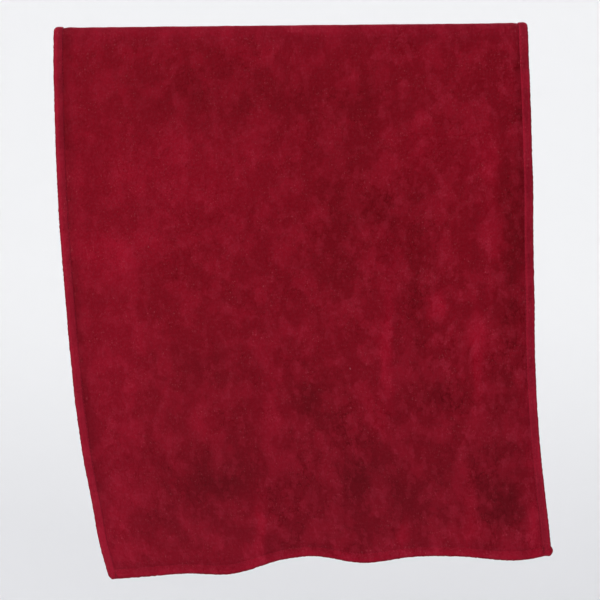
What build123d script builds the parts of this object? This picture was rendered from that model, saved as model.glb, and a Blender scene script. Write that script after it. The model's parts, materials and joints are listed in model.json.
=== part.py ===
"""A golf towel hanging over a round rail, in millimetres.

It is one cut of velour cloth, hemmed all round, with a long drop in front of the rail (-Y), a
short one behind it (+Y) and the fold between them. X runs along the rail, and the origin is on
the rail's axis at the middle of the fold. Each drop swings about the line where the cloth
leaves the rail, so the cloth is three bodies: the fold, the front drop and the back drop.
"""

import os

from build123d import *

# The cloth, lying flat
cloth_width = 406.4
cloth_thickness = 2.6
hem_width = 8.0
hem_thickness = 4.2
half_width = cloth_width / 2

# The rail under the fold
rail_radius = 7.0
clearance = 0.3  # between two bodies of cloth

# Sewing thread
seam_width = 0.9
seam_height = 0.6
seam_start = 2.5  # below the hinge line, so that a lifted drop's thread clears the fold
tack_length = 6.0
tack_width = 1.4

# Care label, sewn flat to the reverse of the back end hem
label_width = 28.0
label_length = 34.0
label_thickness = 0.5
label_center_x = 150.0
label_top_z = -158.0
label_seam_drop = 2.5  # below the label's top edge

# Hinge lines: the middle of the cloth, level with the rail's axis
cloth_middle = rail_radius + cloth_thickness / 2
knuckle_radius = cloth_thickness / 2

# The two drops as they hang, seen from the front as (x, z). Each side edge runs from the hinge
# line down to its corner, and each end from its left corner to its right one.
drops = {
    "front": {
        "left": [(-half_width, 0), (-202, -85), (-194.5, -224), (-183.5, -344), (-160, -462)],
        "right": [(half_width, 0), (206, -90), (206, -228), (209.5, -350), (218, -443)],
        "end": [(-160, -462), (-92, -457), (-5, -446), (59, -450), (100, -446), (160, -448), (218, -443)],
    },
    "back": {
        "left": [(-half_width, 0), (-201.5, -70), (-198, -144)],
        "right": [(half_width, 0), (202.5, -80), (201, -164)],
        "end": [(-198, -144), (-70, -156), (60, -161), (201, -164)],
    },
}

front_face = Plane.XZ  # its normal is -Y, so a distance along it is one in front of the axis
reach = 60.0  # how far an edge's line is carried past its corner


def inside_of(side_edge, shift):
    """Everything on the cloth's side of a side edge, the edge being moved in by shift."""
    toward = 1 if side_edge[0][0] < 0 else -1
    far_x = toward * cloth_width
    with BuildSketch() as region:
        with BuildLine():
            edge = Spline([(x + toward * shift, z) for x, z in side_edge])
            past_corner = Line(edge @ 1, edge @ 1 + reach * (edge % 1))
            Polyline(past_corner @ 1, (far_x, (past_corner @ 1).Y), (far_x, 0), edge @ 0)
        make_face()
    return region.sketch


def above(end, shift):
    """Everything between the hinge line and a drop's end, the end being moved up by shift."""
    with BuildSketch() as region:
        with BuildLine():
            edge = Spline([(x, z + shift) for x, z in end])
            past_left = Line(edge @ 0 - reach * (edge % 0), edge @ 0)
            past_right = Line(edge @ 1, edge @ 1 + reach * (edge % 1))
            left, right = past_left @ 0, past_right @ 1
            Polyline(right, (right.X, 0), (left.X, 0), left)
        make_face()
    return region.sketch


def drop_shape(drop, shift):
    """A drop seen from the front, drawn in by shift at both sides and at its end."""
    with BuildSketch() as shape:
        add(above(drop["end"], shift))
        add(inside_of(drop["left"], shift), mode=Mode.INTERSECT)
        add(inside_of(drop["right"], shift), mode=Mode.INTERSECT)
    return shape.sketch


def border(drop, side, low, high):
    """One length of a drop's border, from low to high in from its edge: left, right or end.

    The end runs the whole width, and each side stops where the end begins.
    """
    with BuildSketch() as strip:
        add(drop_shape(drop, low))
        if side == "end":
            add(above(drop["end"], high), mode=Mode.SUBTRACT)
        else:
            add(inside_of(drop[side], high), mode=Mode.SUBTRACT)
            add(above(drop["end"], high), mode=Mode.INTERSECT)
    return strip.sketch


def hang(sketch, back, inner, thickness):
    """A sketch of a drop, made thick from inner to inner + thickness from the rail's axis."""
    sign = -1 if back else 1
    with BuildPart() as solid:
        with BuildSketch(front_face.offset(sign * inner)):
            add(sketch)
        extrude(amount=sign * thickness)
    return solid.part


def knuckle(back, low_x, high_x):
    """The round top of a drop: half a turn of cloth about the hinge line, from low_x to high_x."""
    middle = cloth_middle if back else -cloth_middle
    with BuildPart() as roll:
        with BuildSketch(Plane.YZ.offset(low_x)):
            with Locations((middle, 0)):
                Circle(knuckle_radius)
            split(bisect_by=Plane.XZ, keep=Keep.BOTTOM)
        extrude(amount=high_x - low_x)
    return roll.part


def fold_strip(low_x, high_x, inner, thickness):
    """Part of the fold: half a sleeve over the rail, its ends clear of the drops' swing."""
    outer = inner + thickness
    end_z = outer - cloth_middle + clearance
    with BuildPart() as sleeve:
        with BuildSketch(Plane.YZ.offset(low_x)):
            Circle(outer)
            Circle(inner, mode=Mode.SUBTRACT)
            with Locations((0, end_z)):
                Rectangle(4 * outer, 4 * outer, align=(Align.CENTER, Align.MIN), mode=Mode.INTERSECT)
        extrude(amount=high_x - low_x)
    return sleeve.part


def save(part, name):
    part.label = name
    export_step(part, f"parts/{name}.step")


os.makedirs("parts", exist_ok=True)

# The fold over the rail: cloth between two hems, with a seam in the crease beside each hem
panel_half = half_width - hem_width
cloth_outer = rail_radius + cloth_thickness

with BuildPart() as fold_cloth:
    add(fold_strip(-panel_half, panel_half, rail_radius, cloth_thickness))
save(fold_cloth.part, "fold_cloth")

for side, sign in (("left", -1), ("right", 1)):
    hem_low, hem_high = sorted((sign * panel_half, sign * half_width))
    seam_low, seam_high = sorted((sign * (panel_half - seam_width), sign * panel_half))
    with BuildPart() as fold_hem:
        add(fold_strip(hem_low, hem_high, rail_radius, hem_thickness))
    save(fold_hem.part, f"fold_{side}_hem")
    with BuildPart() as fold_seam:
        add(fold_strip(seam_low, seam_high, cloth_outer, seam_height))
    save(fold_seam.part, f"fold_{side}_seam")

# The two drops
for name, drop in drops.items():
    back = name == "back"

    with BuildPart() as cloth:
        add(hang(drop_shape(drop, hem_width), back, rail_radius, cloth_thickness))
        add(knuckle(back, -panel_half, panel_half))
    save(cloth.part, f"{name}_cloth")

    for side in ("left", "right", "end"):
        with BuildPart() as hem:
            add(hang(border(drop, side, 0, hem_width), back, rail_radius, hem_thickness))
            if side == "left":
                add(knuckle(back, -half_width, -panel_half))
            elif side == "right":
                add(knuckle(back, panel_half, half_width))
        save(hem.part, f"{name}_{side}_hem")

        seam_strip = border(drop, side, hem_width, hem_width + seam_width)
        with BuildPart() as seam:
            add(hang(seam_strip, back, cloth_outer, seam_height))
            split(bisect_by=Plane.XY.offset(-seam_start), keep=Keep.BOTTOM)
        save(seam.part, f"{name}_{side}_seam")

    # A short bar of stitches across each corner, where the side hem is caught under the end hem
    with BuildPart() as corner_tacks:
        hem_outer = -(rail_radius + hem_thickness) if back else rail_radius + hem_thickness
        with BuildSketch(front_face.offset(hem_outer)):
            for (corner_x, corner_z), sign in ((drop["end"][0], -1), (drop["end"][-1], 1)):
                with Locations((corner_x - sign * hem_width / 2, corner_z + hem_width)):
                    Rectangle(tack_length, tack_width)
        extrude(amount=-seam_height if back else seam_height)
    save(corner_tacks.part, f"{name}_corner_tacks")

# The care label lies on the reverse of the back end hem and hangs below it
label_plane = front_face.offset(-rail_radius)
with BuildPart() as care_label:
    with BuildSketch(label_plane):
        with Locations((label_center_x, label_top_z)):
            Rectangle(label_width, label_length, align=(Align.CENTER, Align.MAX))
    extrude(amount=label_thickness)
save(care_label.part, "care_label")

with BuildPart() as label_stitching:
    with BuildSketch(label_plane.offset(label_thickness)):
        with Locations((label_center_x, label_top_z - label_seam_drop)):
            Rectangle(label_width - seam_width, seam_width)
    extrude(amount=seam_height)
save(label_stitching.part, "label_stitching")
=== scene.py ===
import json
import math

import bpy
import numpy as np
from mathutils import Euler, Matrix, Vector


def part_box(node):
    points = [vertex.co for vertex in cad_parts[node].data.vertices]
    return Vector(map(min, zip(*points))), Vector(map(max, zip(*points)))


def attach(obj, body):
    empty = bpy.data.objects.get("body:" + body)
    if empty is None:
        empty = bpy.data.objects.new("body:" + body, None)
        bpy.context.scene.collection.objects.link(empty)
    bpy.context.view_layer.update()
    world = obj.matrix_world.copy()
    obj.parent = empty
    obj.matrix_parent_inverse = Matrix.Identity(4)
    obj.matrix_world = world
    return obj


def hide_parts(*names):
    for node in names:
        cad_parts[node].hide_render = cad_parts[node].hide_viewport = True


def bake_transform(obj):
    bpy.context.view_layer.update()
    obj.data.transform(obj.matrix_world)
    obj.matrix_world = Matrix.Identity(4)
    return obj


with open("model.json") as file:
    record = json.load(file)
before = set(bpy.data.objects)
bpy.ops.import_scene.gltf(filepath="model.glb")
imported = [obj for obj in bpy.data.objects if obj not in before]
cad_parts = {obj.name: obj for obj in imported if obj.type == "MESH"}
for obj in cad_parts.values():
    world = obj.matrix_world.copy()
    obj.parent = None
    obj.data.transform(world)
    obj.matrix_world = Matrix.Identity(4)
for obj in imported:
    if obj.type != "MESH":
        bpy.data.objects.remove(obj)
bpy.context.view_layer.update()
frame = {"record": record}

# ---------------------------------------------------------------------------------------------
# Driving values. The cloth is laid out flat and draped in millimetres; meshes are in metres.
# ---------------------------------------------------------------------------------------------
MM = 0.001


def node_box(node):
    """A node's lowest and highest corner, in millimetres."""
    low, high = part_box(node)
    return np.array(low) / MM, np.array(high) / MM


rail_mount = next(m for m in frame["record"]["mounts"] if m["name"] == "rail_fold")
rail_radius = rail_mount["dims"]["r_mm"]
fold_top = node_box("fold_cloth")[1][2]
hem_low, hem_high = node_box("fold_right_hem")
half_width = hem_high[0]
hem_width = hem_high[0] - hem_low[0]
half_thickness = (fold_top - rail_radius) / 2
middle_radius = rail_radius + half_thickness  # of the cloth's middle, over the rail
fold_length = math.pi * middle_radius

seam_inset = hem_width - 0.1  # from the cloth's edge to the row of stitches
stitch_pitch = 3.0
stitch_length = 2.5
thread_radius = 0.24
usual_front, usual_back = 450, 155  # the drops' rough lengths

# The two drops' outlines, seen from the front: each side edge as (depth, across), each end as
# (across, depth), with depth measured down from the rail's axis.
front_left_edge = [
    (0, -203.2), (85, -203), (150, -200.6), (224, -196), (344, -184.5), (400, -175.5), (436, -169),
    (465, -160.5),
]
front_right_edge = [(0, 203.2), (90, 206), (228, 206.4), (300, 207.2), (350, 210), (443, 219)]
front_end = [
    (-160, 465), (-125, 462), (-92, 459.3), (-57, 460), (-5, 448), (16, 446), (59, 451.5),
    (100, 447.5), (140, 447.5), (195, 450.5), (218, 447),
]
back_left_edge = [(0, -203.2), (70, -201.5), (144, -198)]
back_right_edge = [(0, 203.2), (80, 202.5), (164, 201)]
back_end = [(-198, 144), (-70, 156), (60, 161), (201, 164)]


# ---------------------------------------------------------------------------------------------
# Small numeric helpers
# ---------------------------------------------------------------------------------------------
def through(points, at):
    """The value at each place of the smooth curve through some (place, value) points."""
    place, value = np.array(points, float).T
    slope = np.gradient(value, place)
    i = np.clip(np.searchsorted(place, at) - 1, 0, len(place) - 2)
    h = place[i + 1] - place[i]
    t = np.clip((at - place[i]) / h, -0.2, 1.2)
    return (
        (2 * t**3 - 3 * t**2 + 1) * value[i]
        + (t**3 - 2 * t**2 + t) * h * slope[i]
        + (3 * t**2 - 2 * t**3) * value[i + 1]
        + (t**3 - t**2) * h * slope[i + 1]
    )


def bump(x, centre, width):
    """A round hill, 1 high at its centre."""
    return np.exp(-(((x - centre) / width) ** 2))


def ramp(x, low, high):
    """0 below low, 1 above high, and smooth between."""
    t = np.clip((x - low) / (high - low), 0, 1)
    return t * t * (3 - 2 * t)


def lumps(x, y, size_x, size_y, seed):
    """Smooth seeded noise from -1 to 1, with lumps of about the given size."""
    values = np.random.default_rng(seed).uniform(-1, 1, (128, 128))
    gx, gy = np.asarray(x) / size_x, np.asarray(y) / size_y
    ix, iy = np.floor(gx).astype(int), np.floor(gy).astype(int)
    fx, fy = gx - ix, gy - iy
    fx, fy = fx * fx * (3 - 2 * fx), fy * fy * (3 - 2 * fy)

    def at(i, j):
        return values[i % 128, j % 128]

    near = at(ix, iy) * (1 - fx) + at(ix + 1, iy) * fx
    far = at(ix, iy + 1) * (1 - fx) + at(ix + 1, iy + 1) * fx
    return near * (1 - fy) + far * fy


# ---------------------------------------------------------------------------------------------
# How the cloth hangs. A point of the flat cloth is (u, s): u across it, and s along it, 0 at the
# front hinge line, growing down the front drop, and negative over the fold and down the back.
# ---------------------------------------------------------------------------------------------
def length_at(end, u):
    """How far down an end lies, at places across the flat cloth."""
    left, right = end[0][0], end[-1][0]
    return through(end, left + (right - left) * (u + half_width) / (2 * half_width))


def front_length(u):
    return length_at(front_end, u)


def back_length(u):
    return length_at(back_end, u)


drops = (("front", front_length, 1), ("back", back_length, -1))
sides = (("left", -1), ("right", 1))

# Flutes that open towards a drop's end: across, half width, how far they stand out
front_flutes = [(-60, 38, 3.4), (58, 34, 3.6), (176, 30, 3.2), (4, 26, -2.6), (118, 26, -2.6)]
back_flutes = [(-120, 45, 2.4), (20, 50, 3.0), (150, 40, 2.2)]

# Soft upright ridges in the front drop: across, top and bottom depth, half width, height
front_ridges = [
    (80, 150, 360, 9, 1.9),
    (119, 190, 320, 8, 1.4),
    (157, 60, 370, 10, 2.0),
    (-30, 330, 450, 12, 1.6),
    (-100, 300, 420, 16, 1.8),
    (38, 360, 450, 10, 1.4),
]


def fluting(flutes, x):
    """How far some flutes stand out at their fullest."""
    return sum(height * bump(x, across, width) for across, width, height in flutes)


def front_waves(x, depth):
    """How far the front drop stands forward of the plane below the rail's front."""
    share = np.clip(depth / usual_front, 0, 1.1)
    out = share**1.8 * fluting(front_flutes, x)
    left = ramp(-x, 60, 205)
    out -= share**1.2 * 13 * left**1.5
    right = ramp(x, 176, 215)
    out -= ramp(depth, 10, 120) * 3.0 * right
    belly = 3.0 * bump(depth, 420, 36) * ramp(depth, 0, 400)
    out += -0.8 * belly + 4.0 * ramp(depth, 385, 485)
    for across, top, bottom, width, height in front_ridges:
        along = ramp(depth, top - 40, top + 40) * (1 - ramp(depth, bottom - 35, bottom + 35))
        out += height * along * bump(x, across + 0.03 * (depth - bottom), width)
    return out


def back_waves(x, depth):
    """How far the back drop stands out behind the plane below the rail's back."""
    share = np.clip(depth / 160, 0, 1.1)
    return share**1.6 * fluting(back_flutes, x)


def middle(u, s):
    """Where the middle of the cloth's thickness hangs."""
    u, s = np.broadcast_arrays(np.asarray(u, float), np.asarray(s, float))
    share = (u + half_width) / (2 * half_width)

    depth = np.maximum(s, 0)
    left = through(front_left_edge, depth)
    right = through(front_right_edge, depth)
    front_x = left + (right - left) * share
    front_y = -middle_radius - front_waves(front_x, depth)

    angle = np.clip(-s / middle_radius, 0, math.pi)
    fold_y, fold_z = -middle_radius * np.cos(angle), middle_radius * np.sin(angle)

    down = np.maximum(-s - fold_length, 0)
    back_left = through(back_left_edge, down)
    back_right = through(back_right_edge, down)
    back_x = back_left + (back_right - back_left) * share
    back_y = middle_radius + back_waves(back_x, down)

    front, back = s > 0, down > 0
    x = np.where(front, front_x, np.where(back, back_x, u))
    y = np.where(front, front_y, np.where(back, back_y, fold_y))
    z = np.where(front, -depth, np.where(back, -down, fold_z))
    return np.stack([x, y, z], -1)


def drape(u, s, out):
    """A point of the cloth, at a distance out from its middle towards the velour face."""
    step = 0.5
    across = middle(u + step, s) - middle(u - step, s)
    along = middle(u, s + step) - middle(u, s - step)
    normal = np.cross(along, across)
    normal /= np.linalg.norm(normal, axis=-1, keepdims=True)
    return middle(u, s) + normal * np.asarray(out)[..., None]


# ---------------------------------------------------------------------------------------------
# Meshes
# ---------------------------------------------------------------------------------------------
def make_piece(name, flat, faces, materials, slots=None, nap_and_painted_light=None):
    """A mesh piece from points of the flat cloth, (u, s, out), and its faces."""
    flat = np.asarray(flat, float)
    points = drape(flat[:, 0], flat[:, 1], flat[:, 2]) * MM
    mesh = bpy.data.meshes.new(name)
    mesh.from_pydata(points.tolist(), [], [list(map(int, f)) for f in faces])
    for material in materials:
        mesh.materials.append(material)
    if slots is not None:
        mesh.polygons.foreach_set("material_index", np.asarray(slots, np.int32))
    cloth = mesh.attributes.new("cloth", "FLOAT_VECTOR", "POINT")
    cloth.data.foreach_set("vector", (flat * MM).astype(np.float32).ravel())
    # A lightness for the colour: brushed pile, with painted highlights and painted shade
    nap_and_light_layer = mesh.attributes.new("nap_and_painted_light", "FLOAT", "POINT")
    if nap_and_painted_light is None:
        nap_and_painted_light = np.zeros(len(flat))
    nap_and_light_layer.data.foreach_set("value", np.asarray(nap_and_painted_light, np.float32))
    mesh.polygons.foreach_set("use_smooth", np.ones(len(mesh.polygons), bool))
    mesh.set_sharp_from_angle(angle=math.radians(55))
    mesh.update()
    obj = bpy.data.objects.new(name, mesh)
    bpy.context.scene.collection.objects.link(obj)
    return obj


def below_hinges(s):
    """How far down its drop a point lies, 0 on the fold."""
    return np.maximum(np.maximum(s, -s - fold_length), 0)


def edge_inset(u, s):
    """How far a point of the flat cloth lies in from its nearest edge."""
    side = half_width - np.abs(u)
    end = np.where(s > -fold_length / 2, front_length(u) - s, s + fold_length + back_length(u))
    return np.minimum(side, end)


def pile_relief(u, s, seed):
    """The velour's uneven height."""
    return (
        0.10 * lumps(u, s, 9, 12, seed)
        + 0.08 * lumps(u, s, 4.2, 5.5, seed + 1)
        + 0.05 * lumps(u, s, 2.4, 2.6, seed + 2)
    )


# Patches of the front drop that are lighter or darker: partly brushed pile, and partly painted
# light and shade, such as painted highlights along soft ridges, a painted lighter left side and a
# painted darker foot:
# across, depth, half width, half height, lightness
front_nap_and_light_patches = [
    (-160, 185, 38, 20, 0.20),
    (-172, 120, 40, 60, 0.03),
    (206, 425, 8, 24, 0.16),
    (-155, 270, 28, 70, 0.11),
    (-150, 375, 22, 60, 0.10),
    (20, 58, 80, 22, -0.08),
    (163, 100, 16, 26, 0.16),
    (-95, 120, 70, 40, 0.10),
    (-80, 42, 60, 34, -0.08),
    (66, 60, 10, 50, -0.05),
    (40, 130, 26, 60, -0.08),
    (75, 150, 40, 22, -0.10),
    (110, 90, 20, 24, 0.08),
    (-70, 300, 26, 26, -0.06),
    (-62, 375, 26, 20, -0.16),
    (-100, 400, 40, 30, -0.07),
    (10, 305, 15, 20, -0.14),
    (30, 320, 26, 26, -0.08),
    (-18, 330, 12, 40, 0.10),
    (57, 370, 18, 24, -0.10),
    (102, 375, 16, 16, 0.08),
    (66, 315, 20, 18, 0.09),
    (-77, 325, 14, 24, 0.11),
    (-80, 275, 30, 14, -0.07),
    (20, 430, 80, 20, -0.08),
    (-155, 425, 14, 30, 0.08),
    (106, 225, 9, 70, -0.10),
    (80, 262, 5.5, 42, 0.30),
    (121, 235, 9, 13, 0.32),
    (157, 275, 7, 40, 0.28),
    (172, 165, 10, 55, 0.13),
    (184, 190, 11, 100, -0.17),
    (176, 300, 12, 22, -0.06),
    (176, 402, 20, 20, -0.18),
    (204, 390, 9, 90, 0.14),
    (30, 200, 26, 26, -0.08),
    (170, 360, 20, 30, -0.08),
    (130, 310, 18, 14, -0.12),
    (-30, 420, 6, 24, 0.26),
    (92, 430, 6, 14, 0.24),
    (146, 410, 7, 34, 0.20),
    (90, 392, 70, 26, -0.10),
    (20, 360, 200, 50, -0.05),
    (20, 446, 210, 12, 0.07),
]
patch_strength = 1.4
fold_painted_sheen = 0.11  # painted sheen: how much lighter the pile is painted where it bends over the rail


def nap_and_painted_light_patches(u, s):
    """How much lighter or darker the front drop's pile is, from its list of patches of brushed
    pile and of painted light and shade.
    """
    place = middle(u, s)
    across, depth = place[..., 0], -place[..., 2]
    wander_x = 4 * lumps(u, s, 12, 26, 71) + 2 * lumps(u, s, 5, 9, 72)
    wander_z = 6 * lumps(u, s, 16, 14, 73)
    out = np.zeros_like(across)
    for x, z, width, height, light in front_nap_and_light_patches:
        apart = ((across + wander_x - x) / width) ** 2 + ((depth + wander_z - z) / height) ** 2
        out += patch_strength * light * np.exp(-(apart**1.3))
    return out


def front_nap_and_painted_light(u, s):
    """The front drop's lightness: its patches of brushed pile and of painted light and shade, a
    painted shade line beside each side hem, and a painted sheen along the fold."""
    side = half_width - np.abs(u)
    # Painted shade: a dark band just inside each side hem
    shade_beside_hem = bump(side, hem_width + 1.8, 5.0) * (1 + 0.25 * lumps(u, s, 500, 40, 74))
    fades = np.where(u < 0, 0.6 * ramp(s, 260, 380), 1.1 * ramp(s, 110, 260))
    # Painted sheen: the pile is painted lighter where it bends over the rail
    sheen_at_fold = fold_painted_sheen * ramp(4 - s, 0, 8)
    patches = np.where(s > 0, nap_and_painted_light_patches(u, s), 0)
    return patches + sheen_at_fold - 0.18 * shade_beside_hem * (1 - fades)


def sheet(name, u, along, outer, inner, materials, nap_and_painted_light):
    """A closed sheet of cloth over a grid: u across, and along(u, t) from one end to the other."""
    columns, rows = len(u), len(along)
    uu, ss = np.broadcast_to(u, (rows, columns)), along
    face_side = np.stack([uu, ss, outer(uu, ss)], -1).reshape(-1, 3)
    back_side = np.stack([uu, ss, inner(uu, ss)], -1).reshape(-1, 3)
    count = rows * columns
    index = np.arange(count).reshape(rows, columns)
    a, b = index[:-1, :-1].ravel(), index[1:, :-1].ravel()
    c, d = index[1:, 1:].ravel(), index[:-1, 1:].ravel()
    quads = [np.stack([a, b, c, d], -1), np.stack([d, c, b, a], -1) + count]
    border = np.concatenate([index[0, :-1], index[:-1, -1], index[-1, :0:-1], index[:0:-1, 0]])
    after = np.roll(border, -1)
    quads.append(np.stack([border, after, after + count, border + count], -1))
    slots = np.concatenate([np.full(len(q), k) for q, k in zip(quads, (0, 1, 0))])
    nap_and_light_values = np.concatenate([nap_and_painted_light(uu, ss).ravel(), np.zeros(count)])
    flat = np.concatenate([face_side, back_side])
    return make_piece(name, flat, np.concatenate(quads), materials, slots, nap_and_light_values)


def sheet_face(u, s):
    """The velour face's height: full pile, sunk at the stitches and thin inside the hem."""
    inset = edge_inset(u, s)
    height = half_thickness + pile_relief(u, s, 3)
    at_end = ramp(half_width - np.abs(u) - inset, 0, 12)
    pull = (0.45 + 0.15 * ramp(below_hinges(s), 4, 40)) * (1 - 0.7 * at_end)
    height += 0.2 * bump(inset, seam_inset + 6.5, 3.0)
    height -= pull * bump(inset, seam_inset + 0.3, 2.4)
    return np.where(inset < seam_inset - 0.7, 0.2, height)


def sheet_reverse(u, s):
    """The terry side's height."""
    inset = edge_inset(u, s)
    height = -half_thickness - 0.5 * pile_relief(u, s, 23)
    height += 0.6 * bump(inset, seam_inset + 0.3, 1.2)
    return np.where(inset < seam_inset - 0.5, -0.4, height)


def hem_profile(hang):
    """The hem's section at each ring, as (inset, height): a soft roll, round at the cloth's edge
    and pressed down by the stitches. It lies flat on the rail where hang is 0."""
    top, stitched = 2.0 + 0.15 * hang, 1.6 - 0.5 * hang
    widest = -1.1 + 0.7 * hang  # the height where the roll is widest
    low = -half_thickness - 0.75 * hang
    crest, far = 3.8, hem_width - 0.1
    section = []
    for a in np.linspace(0, math.pi / 2, 8):  # up round the edge
        rise = widest + (top - widest) * math.sin(a)
        section.append((crest * (1 - math.cos(a)) + 0 * hang, rise))
    for q in np.linspace(0, 1, 7)[1:]:  # across to the stitches
        section.append((crest + (far - crest) * q + 0 * hang, top - (top - stitched) * q**2))
    for q in (0.35, 0.75):  # down inside
        section.append((far + 0.2 + 0 * hang, stitched + (low - stitched) * q))
    for q in np.linspace(0, 1, 6):  # back along the reverse
        sag = 0.25 * hang * math.sin(math.pi * q)
        section.append(((far - 0.2) * (1 - q) + 1.3 * q + 0 * hang, low - sag))
    section.append((0.35 + 0 * hang, 0.5 * (low + widest)))
    return np.stack([i for i, h in section], -1), np.stack([h for i, h in section], -1)


def hem(name, path, materials, seed, sheen_lines, size=None, crease_shade=-0.06, patches=None):
    """A rolled hem along a path. path(insets) gives u and s at each ring for some insets, rims
    are its painted highlight lines, sheen painted along the roll, as (inset, half width,
    lightness high up, lightness at the drop's end), size scales the section at each ring, crease
    is the painted shade in the crease beside the stitches, and patches(u, s) is any brushing and
    painted light that runs on from the cloth."""
    rings = path(np.zeros((1, 1)))[0].shape[0]
    s_at_rings = path(np.zeros((1, 1)))[1][:, 0]
    inset, height = hem_profile(ramp(below_hinges(s_at_rings), 4, 40))
    spokes = inset.shape[1]
    if size is None:
        size = np.ones(rings)
    centre_inset, centre_height = hem_width / 2, 0.4
    insets = centre_inset + (inset - centre_inset) * size[:, None]
    heights = centre_height + (height - centre_height) * size[:, None]
    u, s = path(insets)
    along = u + s
    edge = 1 - ramp(insets, 0.5, 3.0)
    fluff = 0.16 * lumps(along, heights, 2.3, 2.4, seed + 2)
    fluff += 0.12 * lumps(along, heights, 1.5, 1.6, seed + 3)
    u, s = path(insets + edge * fluff)
    outward = ramp(heights, -0.5, 2.0)
    heights = heights + outward * (
        0.16 * lumps(along, insets, 7, 3, seed)
        + 0.10 * lumps(along, insets, 2.2, 2.2, seed + 1)
        - 0.14 * ramp(insets, 1.0, 6) * np.cos(2 * math.pi * along / stitch_pitch)
    )
    index = np.arange(rings * spokes).reshape(rings, spokes)
    a, b = index[:-1], index[1:]
    quads = np.stack([a, np.roll(a, -1, 1), np.roll(b, -1, 1), b], -1).reshape(-1, 4)
    faces = [list(q) for q in quads] + [list(index[0][::-1]), list(index[-1])]
    flat = np.stack([u, s, heights], -1).reshape(-1, 3)
    # Painted shade in the crease beside the stitches
    nap_and_painted_light = crease_shade * ramp(insets, hem_width - 0.8, hem_width - 0.1)
    if patches is not None:
        nap_and_painted_light = nap_and_painted_light + patches(u, s)
    low_down = ramp(below_hinges(s), 100, 380)
    # Painted highlights: lines of sheen painted along the roll
    for inset_at, width, high_light, end_light in sheen_lines:
        light = high_light + (end_light - high_light) * low_down
        nap_and_painted_light = nap_and_painted_light + light * bump(insets, inset_at, width)
    piece = make_piece(name, flat, faces, materials, nap_and_painted_light=nap_and_painted_light.ravel())
    flip_if_inside_out(piece)
    return piece


def flip_if_inside_out(piece):
    """Turns a closed mesh's faces outward."""
    mesh = piece.data
    mesh.calc_loop_triangles()
    corner = np.zeros(len(mesh.vertices) * 3)
    mesh.vertices.foreach_get("co", corner)
    corner = corner.reshape(-1, 3)
    tris = np.zeros(len(mesh.loop_triangles) * 3, int)
    mesh.loop_triangles.foreach_get("vertices", tris)
    p, q, r = (corner[tris.reshape(-1, 3)[:, k]] for k in range(3))
    if np.einsum("ij,ij->i", p, np.cross(q, r)).sum() < 0:
        mesh.flip_normals()


def side_path(sign, s_from, s_to, spacing=0.75):
    """A side hem's path, along the cloth from s_from to s_to."""
    count = int(abs(s_to - s_from) / spacing) + 1
    along = np.linspace(s_from, s_to, count)[:, None]
    wobble = 0.35 * lumps(along, 0 * along, 26, 1, 17 + sign)

    def path(insets):
        insets = np.atleast_2d(insets)
        return np.broadcast_arrays(sign * (half_width + wobble - insets), along + 0 * insets)

    return path


def end_path(length, direction, reach, spacing=0.75):
    """An end hem's path, across the cloth at a drop's end, out to a reach at its left and its
    right. direction is 1 at the front's end."""
    count = int(2 * half_width / spacing) + 1
    across = np.linspace(-reach[0], reach[1], count)[:, None]
    end = direction * length(np.clip(across, -half_width, half_width))
    if direction < 0:
        end = end - fold_length

    def path(insets):
        insets = np.atleast_2d(insets)
        return np.broadcast_arrays(across + 0 * insets, end - direction * insets)

    return path


def end_size(across, reach, knobs):
    """An end hem's size along it: rounded off at each end, and fuller in a corner's knob."""
    size = np.ones_like(across)
    rounding = 3.6
    for from_end, knob in ((across + reach[0], knobs[0]), (reach[1] - across, knobs[1])):
        cap = np.sqrt(np.clip(1 - (1 - np.clip(from_end / rounding, 0.03, 1)) ** 2, 0, 1))
        size *= cap * (1 + knob * bump(from_end, rounding, 3.0))
    return size


def stitches(name, u, s, du, ds, height, materials, pull=0.5, length=stitch_length):
    """A row of stitches: one short arched thread at each (u, s), lying along (du, ds)."""
    rings, spokes = 7, 6
    t = np.linspace(0, 1, rings)
    arch = np.sin(math.pi * t) ** 0.6
    radius = thread_radius * np.sqrt(np.clip(1 - (2 * t - 1) ** 6, 0.05, 1))
    angle = np.linspace(0, 2 * math.pi, spokes, endpoint=False)
    size = np.hypot(du, ds)
    du, ds = du / size, ds / size
    shape = (len(u), rings, spokes)
    along = np.broadcast_to(((t - 0.5) * length)[None, :, None], shape)
    side = np.broadcast_to((radius[:, None] * np.cos(angle)[None, :])[None], shape)
    up = np.broadcast_to((radius[:, None] * np.sin(angle)[None, :])[None], shape)
    up = up + (np.asarray(height)[:, None, None] + pull * (arch - 1)[None, :, None])
    du, ds = du[:, None, None], ds[:, None, None]
    uu = u[:, None, None] + along * du - side * ds
    ss = s[:, None, None] + along * ds + side * du
    flat = np.stack([uu, ss, up], -1).reshape(-1, 3)
    ring = np.arange(rings * spokes).reshape(rings, spokes)
    a, b = ring[:-1], ring[1:]
    one = np.stack([a, np.roll(a, -1, 1), np.roll(b, -1, 1), b], -1).reshape(-1, 4)
    starts = np.arange(len(u)) * rings * spokes
    quads = (one[None] + starts[:, None, None]).reshape(-1, 4)
    faces = [list(q) for q in quads]
    for start in starts:
        faces.append(list(ring[0][::-1] + start))
        faces.append(list(ring[-1] + start))
    piece = make_piece(name, flat, faces, materials)
    flip_if_inside_out(piece)
    return piece


# ---------------------------------------------------------------------------------------------
# Materials
# ---------------------------------------------------------------------------------------------
def new_material(name):
    """A material with a Principled shader, its node tree and that shader."""
    material = bpy.data.materials.new(name)
    material.use_nodes = True
    nodes = material.node_tree.nodes
    nodes.clear()
    output = nodes.new("ShaderNodeOutputMaterial")
    shader = nodes.new("ShaderNodeBsdfPrincipled")
    material.node_tree.links.new(shader.outputs[0], output.inputs["Surface"])
    return material, material.node_tree, shader


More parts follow.
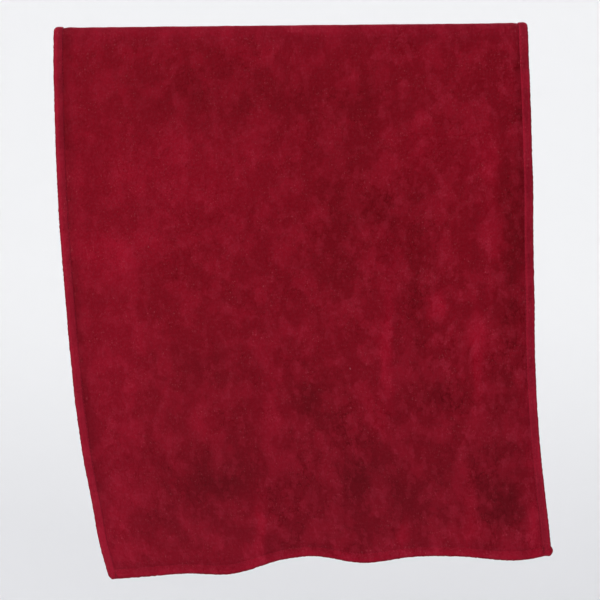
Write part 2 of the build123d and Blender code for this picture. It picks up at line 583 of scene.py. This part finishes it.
def add_node(tree, kind, inputs=None, **settings):
    node = tree.nodes.new(kind)
    for key, value in settings.items():
        setattr(node, key, value)
    for key, value in (inputs or {}).items():
        if isinstance(value, bpy.types.NodeSocket):
            tree.links.new(value, node.inputs[key])
        else:
            node.inputs[key].default_value = value
    return node


def math_node(tree, operation, a, b=0.0, clamp=False):
    return add_node(
        tree, "ShaderNodeMath", {0: a, 1: b}, operation=operation, use_clamp=clamp
    ).outputs[0]


def add_up(tree, values):
    total = values[0]
    for value in values[1:]:
        total = math_node(tree, "ADD", total, value)
    return total


def times(tree, a, b):
    return math_node(tree, "MULTIPLY", a, b)


def separate(tree, vector):
    return add_node(tree, "ShaderNodeSeparateXYZ", {0: vector}).outputs


def cloth_place(tree, scale=(1, 1, 1)):
    """The point of the flat cloth, which stays put when the cloth bends."""
    place = add_node(tree, "ShaderNodeAttribute", attribute_name="cloth").outputs["Vector"]
    return add_node(tree, "ShaderNodeMapping", {0: place, "Scale": scale}).outputs[0]


def noise(tree, place, per_metre, detail=2.0, roughness=0.5):
    return add_node(
        tree,
        "ShaderNodeTexNoise",
        {"Vector": place, "Scale": per_metre, "Detail": detail, "Roughness": roughness},
    ).outputs[0]


def map_range(tree, value, low, high, to_low, to_high, smooth=False):
    node = add_node(tree, "ShaderNodeMapRange", {0: value, 1: low, 2: high, 3: to_low, 4: to_high})
    node.interpolation_type = "SMOOTHSTEP" if smooth else "LINEAR"
    return node.outputs[0]


def colour_mix(tree, share, a, b, blend="MIX"):
    node = add_node(tree, "ShaderNodeMix", data_type="RGBA", blend_type=blend)
    for socket, value in ((node.inputs[0], share), (node.inputs[6], a), (node.inputs[7], b)):
        if isinstance(value, bpy.types.NodeSocket):
            tree.links.new(value, socket)
        else:
            socket.default_value = value
    return node.outputs[2]


def dress(tree, shader, colour, relief, strength, distance, settings):
    """Joins a colour and a relief to a shader, and sets the rest of its values."""
    tree.links.new(colour, shader.inputs["Base Color"])
    bumps = add_node(
        tree, "ShaderNodeBump", {"Height": relief, "Strength": strength, "Distance": distance}
    )
    tree.links.new(bumps.outputs[0], shader.inputs["Normal"])
    for key, value in settings.items():
        shader.inputs[key].default_value = value


def velour(name, red, mottle=1.0, extra_painted_sheen=0.0):
    """Sheared cotton pile: brushed patches, strokes, furrows, fine grain, lint, and painted glints
    and painted shade on single tufts.

    red is its brightness, mottle the strength of its marks, and cool the strength of a painted
    sheen that makes it paler and bluer. Painted sheen also makes it paler and cooler over the
    rail and behind it, and towards the front drop's end."""
    material, tree, shader = new_material(name)
    even = cloth_place(tree)
    # The mesh's lightness: brushed pile, with painted highlights and painted shade of the folds
    # and hems
    nap_and_painted_light = add_node(tree, "ShaderNodeAttribute", attribute_name="nap_and_painted_light").outputs["Fac"]
    clouds = noise(tree, cloth_place(tree, (1, 0.84, 1)), 44, detail=4.0, roughness=0.55)
    strokes = noise(tree, cloth_place(tree, (1, 0.64, 1)), 125, detail=3.0, roughness=0.6)
    grain = noise(tree, cloth_place(tree, (1, 0.85, 1)), 560, detail=2.0, roughness=0.6)
    curls = noise(tree, cloth_place(tree, (1, 0.65, 1)), 105, detail=2.0, roughness=0.6)
    ruffled = noise(tree, even, 17, detail=1.0)
    furrow = math_node(tree, "ABSOLUTE", math_node(tree, "SUBTRACT", curls, 0.5))
    furrow = map_range(tree, furrow, 0.0, 0.03, -0.17, 0.0, smooth=True)
    furrow = times(tree, furrow, map_range(tree, ruffled, 0.45, 0.62, 0.1, 1.0))
    place = separate(tree, even)
    across, down = place[0], place[1]
    low_right = math_node(tree, "ADD", across, times(tree, down, 0.5))
    rougher = map_range(tree, low_right, -0.15, 0.25, 0.54 * mottle, 1.15 * mottle)
    marks = add_up(tree, [
        map_range(tree, clouds, 0.50, 0.53, -0.035, 0.035, smooth=True),
        map_range(tree, strokes, 0.54, 0.59, -0.035, 0.10, smooth=True),
        furrow,
    ])
    marks = times(tree, marks, rougher)
    specks = map_range(tree, grain, 0.45, 0.72, -0.02, 0.06)
    broad = map_range(tree, clouds, 0.42, 0.68, -0.05, 0.13, smooth=True)
    share = math_node(tree, "ADD", add_up(tree, [nap_and_painted_light, broad, marks, specks]), 0.5, clamp=True)
    dark = (0.5 * red, 0.009 * red, 0.022 * red, 1)
    light = (1.5 * red, 0.028 * red, 0.100 * red, 1)
    colour = colour_mix(tree, share, dark, light)

    # A dark mark is a purer red than a pale one, and a speck shows it most
    tint = add_up(tree, [times(tree, marks, 0.7), times(tree, specks, 2.5)])
    tint = map_range(tree, tint, -0.2, 0.2, 0.0, 1.0)
    tint = colour_mix(tree, tint, (1, 0.0, 0.6, 1), (1, 2.0, 1.4, 1))
    colour = colour_mix(tree, 1.0, colour, tint, blend="MULTIPLY")

    # Painted sheen: the pile is painted paler and cooler over the rail and behind it, and again
    # low down in front
    painted_sheen = add_up(tree, [
        map_range(tree, down, 0.0, 0.012, 0.5 * extra_painted_sheen + 0.2, 0.5 * extra_painted_sheen),
        map_range(tree, down, 0.18, 0.48, 0.0, 0.5),
    ])
    colour = colour_mix(tree, painted_sheen, colour, (0, 0.020 * red, 0.036 * red, 1), blend="ADD")

    # Single tufts that catch the light or stand in shade, in clusters
    tufts = noise(tree, cloth_place(tree, (1, 0.75, 1)), 700, detail=2.0, roughness=0.7)
    cluster = map_range(tree, noise(tree, even, 60, detail=2.0), 0.42, 0.60, 0.15, 1.0)
    pale = times(tree, map_range(tree, tufts, 0.61, 0.77, 0.0, 1.0), cluster)
    deep = times(tree, map_range(tree, tufts, 0.39, 0.24, 0.0, 0.9), cluster)
    colour = colour_mix(tree, pale, colour, (0.62 * red, 0.20 * red, 0.22 * red, 1), blend="ADD")
    colour = colour_mix(tree, deep, colour, (0.42, 0.1, 0.2, 1), blend="MULTIPLY")

    # Lint: a small bent speck at the heart of one cell in twenty
    upright = cloth_place(tree, (1, 0.45, 1))
    wobble = times(tree, noise(tree, even, 900), 0.0022)
    bent = add_node(tree, "ShaderNodeVectorMath", {0: upright, 1: wobble}).outputs[0]
    cells = add_node(tree, "ShaderNodeTexVoronoi", {"Vector": bent, "Scale": 95.0}, feature="F1")
    near = math_node(tree, "LESS_THAN", cells.outputs["Distance"], 0.035)
    chance = add_node(tree, "ShaderNodeSeparateColor", {0: cells.outputs["Color"]}).outputs[0]
    lint = times(tree, near, math_node(tree, "GREATER_THAN", chance, 0.95))
    colour = colour_mix(tree, times(tree, lint, 0.3), colour, (0.5, 0.2, 0.24, 1))

    relief = math_node(tree, "ADD", times(tree, grain, 0.7), strokes)
    dress(tree, shader, colour, relief, 0.3, 0.001, {
        "Roughness": 0.95,
        "Specular IOR Level": 0.05,
        "Sheen Weight": 0.3,
        "Sheen Roughness": 0.35,
        "Sheen Tint": (1.0, 0.1, 0.22, 1),
    })
    return material


def terry(name, dark, light):
    """The reverse: rows of small cotton loops, with painted shade between them."""
    material, tree, shader = new_material(name)
    rows = cloth_place(tree, (1, 0.8, 1))
    loops = add_node(
        tree,
        "ShaderNodeTexVoronoi",
        {"Vector": rows, "Scale": 560.0, "Randomness": 0.75},
        feature="F1",
    ).outputs["Distance"]
    patches = noise(tree, cloth_place(tree), 70, detail=2.0)
    height = map_range(tree, loops, 0.1, 0.75, 1.0, 0.0, smooth=True)
    shade = map_range(tree, patches, 0.35, 0.65, -0.15, 0.15)
    # Painted shade: the colour is darker where the loops sit low, between them
    share = math_node(tree, "ADD", map_range(tree, height, 0, 1, 0.15, 0.85), shade)
    colour = colour_mix(tree, share, dark, light)
    dress(tree, shader, colour, height, 0.9, 0.0009, {
        "Roughness": 0.95,
        "Specular IOR Level": 0.12,
        "Sheen Weight": 0.12,
        "Sheen Roughness": 0.5,
        "Sheen Tint": (1.0, 0.12, 0.22, 1),
    })
    return material


def thread(name, dark, light):
    """Twisted sewing thread."""
    material, tree, shader = new_material(name)
    twist = add_node(
        tree,
        "ShaderNodeTexWave",
        {"Vector": cloth_place(tree), "Scale": 900.0, "Distortion": 1.0},
        wave_type="BANDS",
        bands_direction="DIAGONAL",
    ).outputs["Fac"]
    colour = colour_mix(tree, twist, dark, light)
    settings = {"Roughness": 0.75, "Specular IOR Level": 0.1}
    dress(tree, shader, colour, twist, 0.5, 0.0002, settings)
    return material


def satin(name):
    """The label's blank woven ribbon."""
    material, tree, shader = new_material(name)
    weave = add_node(
        tree,
        "ShaderNodeTexWave",
        {"Vector": cloth_place(tree), "Scale": 700.0, "Distortion": 0.4},
        wave_type="BANDS",
        bands_direction="Y",
    ).outputs["Fac"]
    colour = colour_mix(tree, weave, (0.66, 0.64, 0.6, 1), (0.82, 0.8, 0.76, 1))
    dress(tree, shader, colour, weave, 0.4, 0.0002, {"Roughness": 0.4})
    return material


velour_face = velour("velour_face", 0.122)
velour_hem = velour("velour_hem", 0.127, mottle=0.5, extra_painted_sheen=0.8)
terry_reverse = terry("terry_reverse", (0.048, 0.0009, 0.003, 1), (0.165, 0.0035, 0.0125, 1))
crimson_thread = thread("crimson_thread", (0.12, 0.002, 0.007, 1), (0.2, 0.005, 0.016, 1))
label_satin = satin("label_satin")


# ---------------------------------------------------------------------------------------------
# The two lengths of cloth: the front one runs on over the fold to the back hinge line
# ---------------------------------------------------------------------------------------------
tuck = 3.6  # how far the cloth's edge lies inside its hem
grid = 2.15  # the mesh's spacing over the drops
fold_grid = 1.3
inner_half = half_width - tuck
across = np.linspace(-inner_half, inner_half, int(2 * inner_half / grid))


def rows_between(start, end, spacing):
    """Evenly spaced places from start to end, about spacing apart."""
    return np.linspace(start, end, max(2, int(round(abs(end - start) / spacing)) + 1))


fold_rows = rows_between(-fold_length, 0, fold_grid)[:-1]
front_share = rows_between(0, usual_front, grid) / usual_front
front_along = np.concatenate([
    np.broadcast_to(fold_rows[:, None], (len(fold_rows), len(across))),
    front_share[:, None] * (front_length(across) - tuck)[None, :],
])
back_share = rows_between(0, usual_back, grid)[::-1] / usual_back
back_along = -fold_length - back_share[:, None] * (back_length(across) - tuck)[None, :]


def back_nap_and_painted_sheen(u, s):
    """The back drop's lightness: broad soft patches, and a painted sheen along the fold."""
    down = -s - fold_length
    return 0.16 * lumps(u, s, 60, 45, 91) + fold_painted_sheen * (1 - ramp(down, 0, 14))


front_sheet = sheet(
    "front_cloth_and_fold", across, front_along, sheet_face, sheet_reverse,
    [velour_face, terry_reverse], front_nap_and_painted_light,
)
back_sheet = sheet(
    "back_drop_cloth", across, back_along, sheet_face, sheet_reverse,
    [velour_face, terry_reverse], back_nap_and_painted_sheen,
)

# ---------------------------------------------------------------------------------------------
# Hems, their stitches and the corner tacks
# ---------------------------------------------------------------------------------------------
drop_pieces = {"front": [], "back": []}

# A hem's painted highlight lines, sheen painted along its roll: inset, half width, lightness high
# up and at the drop's end
side_painted_sheen = {
    "left": [(1.6, 2.4, 0.40, 0.42), (6.2, 2.2, 0.02, 0.34)],
    "right": [(7.3, 1.0, 0.36, 0.30), (1.8, 1.6, 0.26, 0.46), (4.6, 1.5, 0.0, 0.16)],
}
end_painted_sheen = [(1.6, 2.4, 0.42, 0.42), (6.2, 3.0, 0.11, 0.11)]

for drop, length, direction in drops:
    for side, sign in sides:
        corner = length(np.array([sign * half_width]))[0] - tuck
        if drop == "front":
            s_from, s_to = -fold_length, corner
        else:
            s_from, s_to = -fold_length, -fold_length - corner
        piece = hem(
            f"{drop}_{side}_rolled_hem", side_path(sign, s_from, s_to), [velour_hem],
            seed=31 + 5 * sign, sheen_lines=side_painted_sheen[side],
        )
        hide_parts(f"{drop}_{side}_hem")
        if drop == "front":
            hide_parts(f"fold_{side}_hem")
        drop_pieces[drop].append(piece)

    reach = (half_width - 0.4, half_width + 1.0)
    path = end_path(length, direction, reach)
    ring_u = path(np.zeros(1))[0][:, 0]
    piece = hem(
        f"{drop}_end_rolled_hem", path, [velour_face], seed=51 + direction, sheen_lines=end_painted_sheen,
        size=end_size(ring_u, reach, knobs=(0.0, 0.18)), crease_shade=0.0,
        patches=nap_and_painted_light_patches if drop == "front" else None,
    )
    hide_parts(f"{drop}_end_hem")
    drop_pieces[drop].append(piece)


def both_faces(name, u, s, du, ds, face_height, reverse_height):
    """A row of lockstitches, which shows on both faces of the cloth."""
    count = len(u)
    half_pitch = stitch_pitch / 2
    size = np.hypot(du, ds)
    u_all = np.concatenate([u, u + du / size * half_pitch])
    s_all = np.concatenate([s, s + ds / size * half_pitch])
    heights = np.concatenate([np.full(count, face_height), np.full(count, reverse_height)])
    du_all, ds_all = np.concatenate([du, du]), np.concatenate([ds, ds])
    pull = np.concatenate([np.full(count, 0.5), np.full(count, -0.4)])[:, None, None]
    return stitches(name, u_all, s_all, du_all, ds_all, heights, [crimson_thread], pull=pull)


seam_height, seam_reverse = 0.95, -0.95  # the thread's middle on each face of the cloth
tack_lanes = (-0.55, 0.0, 0.55)  # a corner's threads lie side by side, in three rows
tack_rows = ((2.4, 2.55), (4.4, 2.55), (6.4, 1.9))  # inset and height

for drop, length, direction in drops:
    for side, sign in sides:
        corner = length(np.array([sign * half_width]))[0]
        if drop == "front":
            low, high = -fold_length, corner - seam_inset
        else:
            low, high = -fold_length - corner + seam_inset, -fold_length
        s = np.arange(low + stitch_pitch / 2, high - stitch_pitch / 2, stitch_pitch)
        u = np.full_like(s, sign * (half_width - seam_inset))
        piece = both_faces(
            f"{drop}_{side}_stitches", u, s, 0 * s, 0 * s + 1, seam_height, seam_reverse
        )
        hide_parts(f"{drop}_{side}_seam")
        if drop == "front":
            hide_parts(f"fold_{side}_seam")
        drop_pieces[drop].append(piece)

    inside = half_width - seam_inset
    u = np.arange(-inside, inside, stitch_pitch)
    end_s = length(u) - seam_inset
    s = end_s if direction > 0 else -fold_length - end_s
    ds = np.gradient(s, u)
    piece = both_faces(f"{drop}_end_stitches", u, s, 0 * u + 1, ds, seam_height, seam_reverse)
    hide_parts(f"{drop}_end_seam")
    drop_pieces[drop].append(piece)

    # The tacks at both corners, across the end hem
    tack_u, tack_s, tack_height = [], [], []
    for side, sign in sides:
        corner = length(np.array([sign * half_width]))[0]
        for lane in tack_lanes:
            for inset, height in tack_rows:
                tack_u.append(sign * (half_width - seam_inset) + lane)
                tack_s.append(corner - inset - 0.3 * lane)
                tack_height.append(height)
    tack_u, tack_s = np.array(tack_u), np.array(tack_s)
    if direction < 0:
        tack_s = -fold_length - tack_s
    piece = stitches(
        f"{drop}_corner_tack_stitches", tack_u, tack_s, 0 * tack_u, 0 * tack_u + 1,
        np.array(tack_height), [crimson_thread], length=2.0,
    )
    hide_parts(f"{drop}_corner_tacks")
    drop_pieces[drop].append(piece)


# ---------------------------------------------------------------------------------------------
# The care label, on the reverse of the back end hem
# ---------------------------------------------------------------------------------------------
label_low, label_high = node_box("care_label")
label_seam_low, label_seam_high = node_box("label_stitching")
label_columns, label_rows = 15, 19
label_across = np.linspace(label_low[0], label_high[0], label_columns)
label_thickness = label_high[1] - label_low[1]
hem_reverse = -2.35  # how far the hem's reverse lies from the middle of the cloth


def label_curl(u, s):
    """How far the hanging part of the label stands away from the cloth's reverse."""
    fall = np.clip((-s - fold_length + label_high[2]) / (label_high[2] - label_low[2]), 0, 1)
    across_share = (u - label_low[0]) / (label_high[0] - label_low[0])
    return -1.2 * fall**2 - 0.5 * fall * np.sin(math.pi * across_share)


def label_outer(u, s):
    return hem_reverse + label_curl(u, s)


def label_inner(u, s):
    return hem_reverse - label_thickness + label_curl(u, s)


label_along = np.linspace(label_low[2], label_high[2], label_rows)[:, None] - fold_length
label_along = np.broadcast_to(label_along, (label_rows, label_columns))
label = sheet(
    "care_label_ribbon", label_across, label_along, label_outer, label_inner,
    [label_satin, label_satin], lambda u, s: 0 * u,
)
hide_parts("care_label")

u = np.arange(label_seam_low[0] + 1.5, label_seam_high[0] - 1, 2.4)
s = np.full_like(u, (label_seam_low[2] + label_seam_high[2]) / 2 - fold_length)
label_stitches = stitches(
    "label_row_of_stitches", u, s, 0 * u + 1, 0 * u,
    np.full(len(u), hem_reverse - label_thickness - 0.12), [crimson_thread],
    pull=-0.35, length=2.0,
)
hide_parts("label_stitching")
for piece in (label, label_stitches):
    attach(piece, "back_drop")

# ---------------------------------------------------------------------------------------------
# Hiding the model's cloth, and baking each piece's place into its mesh
# ---------------------------------------------------------------------------------------------
hinge_y = middle_radius * MM

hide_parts("front_cloth", "fold_cloth")
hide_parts("back_cloth")

for drop, sheet_piece, y in (("front", front_sheet, -hinge_y), ("back", back_sheet, hinge_y)):
    for piece in [sheet_piece, *drop_pieces[drop]]:
        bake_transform(piece)

# ---------------------------------------------------------------------------------------------
# Stage, light and camera
# ---------------------------------------------------------------------------------------------
def pale_bowl():
    """A pale floor that curves up into a wall all round, with painted shade on the floor."""
    floor_z, radius, cove, top_z = -1.25, 4.6, 1.2, 3.2
    turns = 96
    profile = [(0.0, floor_z)]
    profile += [(r, floor_z) for r in np.linspace(0.6, radius - cove, 6)]
    for angle in np.linspace(0, math.pi / 2, 12)[1:]:
        r = radius - cove + cove * math.sin(angle)
        profile.append((r, floor_z + cove - cove * math.cos(angle)))
    profile.append((radius, top_z))
    points, faces = [(0.0, 0.0, floor_z)], []
    for r, z in profile[1:]:
        for k in range(turns):
            a = 2 * math.pi * k / turns
            points.append((r * math.cos(a), r * math.sin(a), z))
    for k in range(turns):
        faces.append((0, 1 + k, 1 + (k + 1) % turns))
    for ring in range(len(profile) - 2):
        first = 1 + ring * turns
        for k in range(turns):
            after = (k + 1) % turns
            faces.append((first + k, first + turns + k, first + turns + after, first + after))
    mesh = bpy.data.meshes.new("pale_bowl")
    mesh.from_pydata(points, [], faces)
    mesh.polygons.foreach_set("use_smooth", np.ones(len(mesh.polygons), bool))
    material, tree, shader = new_material("pale_paper")
    place = add_node(tree, "ShaderNodeTexCoord").outputs["Object"]
    height = separate(tree, place)["Z"]
    # Painted shade: the floor is painted greyer than the wall, and greyer still near the middle,
    # where the lamps light it most
    share = map_range(tree, height, floor_z, floor_z + cove, 0.0, 1.0, smooth=True)
    colour = colour_mix(tree, share, (0.76, 0.76, 0.77, 1), (0.95, 0.95, 0.945, 1))
    on_plan = add_node(tree, "ShaderNodeMapping", {0: place, "Scale": (1, 1, 0)}).outputs[0]
    far = add_node(tree, "ShaderNodeVectorMath", {0: on_plan}, operation="LENGTH").outputs["Value"]
    far = map_range(tree, far, 0.3 * radius, 0.8 * radius, 0.0, 1.0, smooth=True)
    colour = colour_mix(tree, far, (0.53, 0.53, 0.54, 1), colour)
    tree.links.new(colour, shader.inputs["Base Color"])
    shader.inputs["Roughness"].default_value = 0.9
    mesh.materials.append(material)
    obj = bpy.data.objects.new("pale_bowl", mesh)
    bpy.context.scene.collection.objects.link(obj)


pale_bowl()


def area_light(name, place, target, size, watts, colour):
    light = bpy.data.lights.new(name, "AREA")
    light.shape = "RECTANGLE"
    light.size, light.size_y = size
    light.energy = watts
    light.color = colour
    obj = bpy.data.objects.new(name, light)
    obj.location = place
    obj.rotation_euler = (Vector(target) - Vector(place)).to_track_quat("-Z", "Y").to_euler()
    obj.visible_camera = False
    bpy.context.scene.collection.objects.link(obj)


towel_centre = (0, 0, -0.22)
area_light("key", (-1.15, -1.8, 0.75), towel_centre, (1.2, 1.2), 51, (1, 0.99, 0.98))
area_light("fill", (2.2, -2.2, 0.3), towel_centre, (1.8, 1.8), 23.4, (0.98, 0.99, 1))
area_light("rear", (0.9, 2.4, 1.2), towel_centre, (1.8, 1.8), 44, (1, 1, 1))

world = bpy.data.worlds.new("studio")
world.use_nodes = True
world.node_tree.nodes["Background"].inputs["Color"].default_value = (0.95, 0.96, 1, 1)
world.node_tree.nodes["Background"].inputs["Strength"].default_value = 0.87
bpy.context.scene.world = world
bpy.context.scene.view_settings.view_transform = "Standard"

camera_distance = 1.85
camera_x, camera_z = 0.0056, -0.2266
camera_roll = -0.58  # degrees
frame_width = 0.5134  # how much of the scene the picture takes in at the towel, in metres
camera = bpy.data.cameras.new("camera")
camera.sensor_width = 36.0
camera.lens = camera.sensor_width * camera_distance / frame_width
camera_object = bpy.data.objects.new("camera", camera)
camera_object.location = (camera_x, -middle_radius * MM - camera_distance, camera_z)
camera_object.rotation_mode = "XYZ"
level = Euler((math.radians(90), 0, 0)).to_matrix()
roll = Euler((0, 0, math.radians(camera_roll))).to_matrix()
camera_object.rotation_euler = (level @ roll).to_euler()
bpy.context.scene.collection.objects.link(camera_object)
bpy.context.scene.camera = camera_object
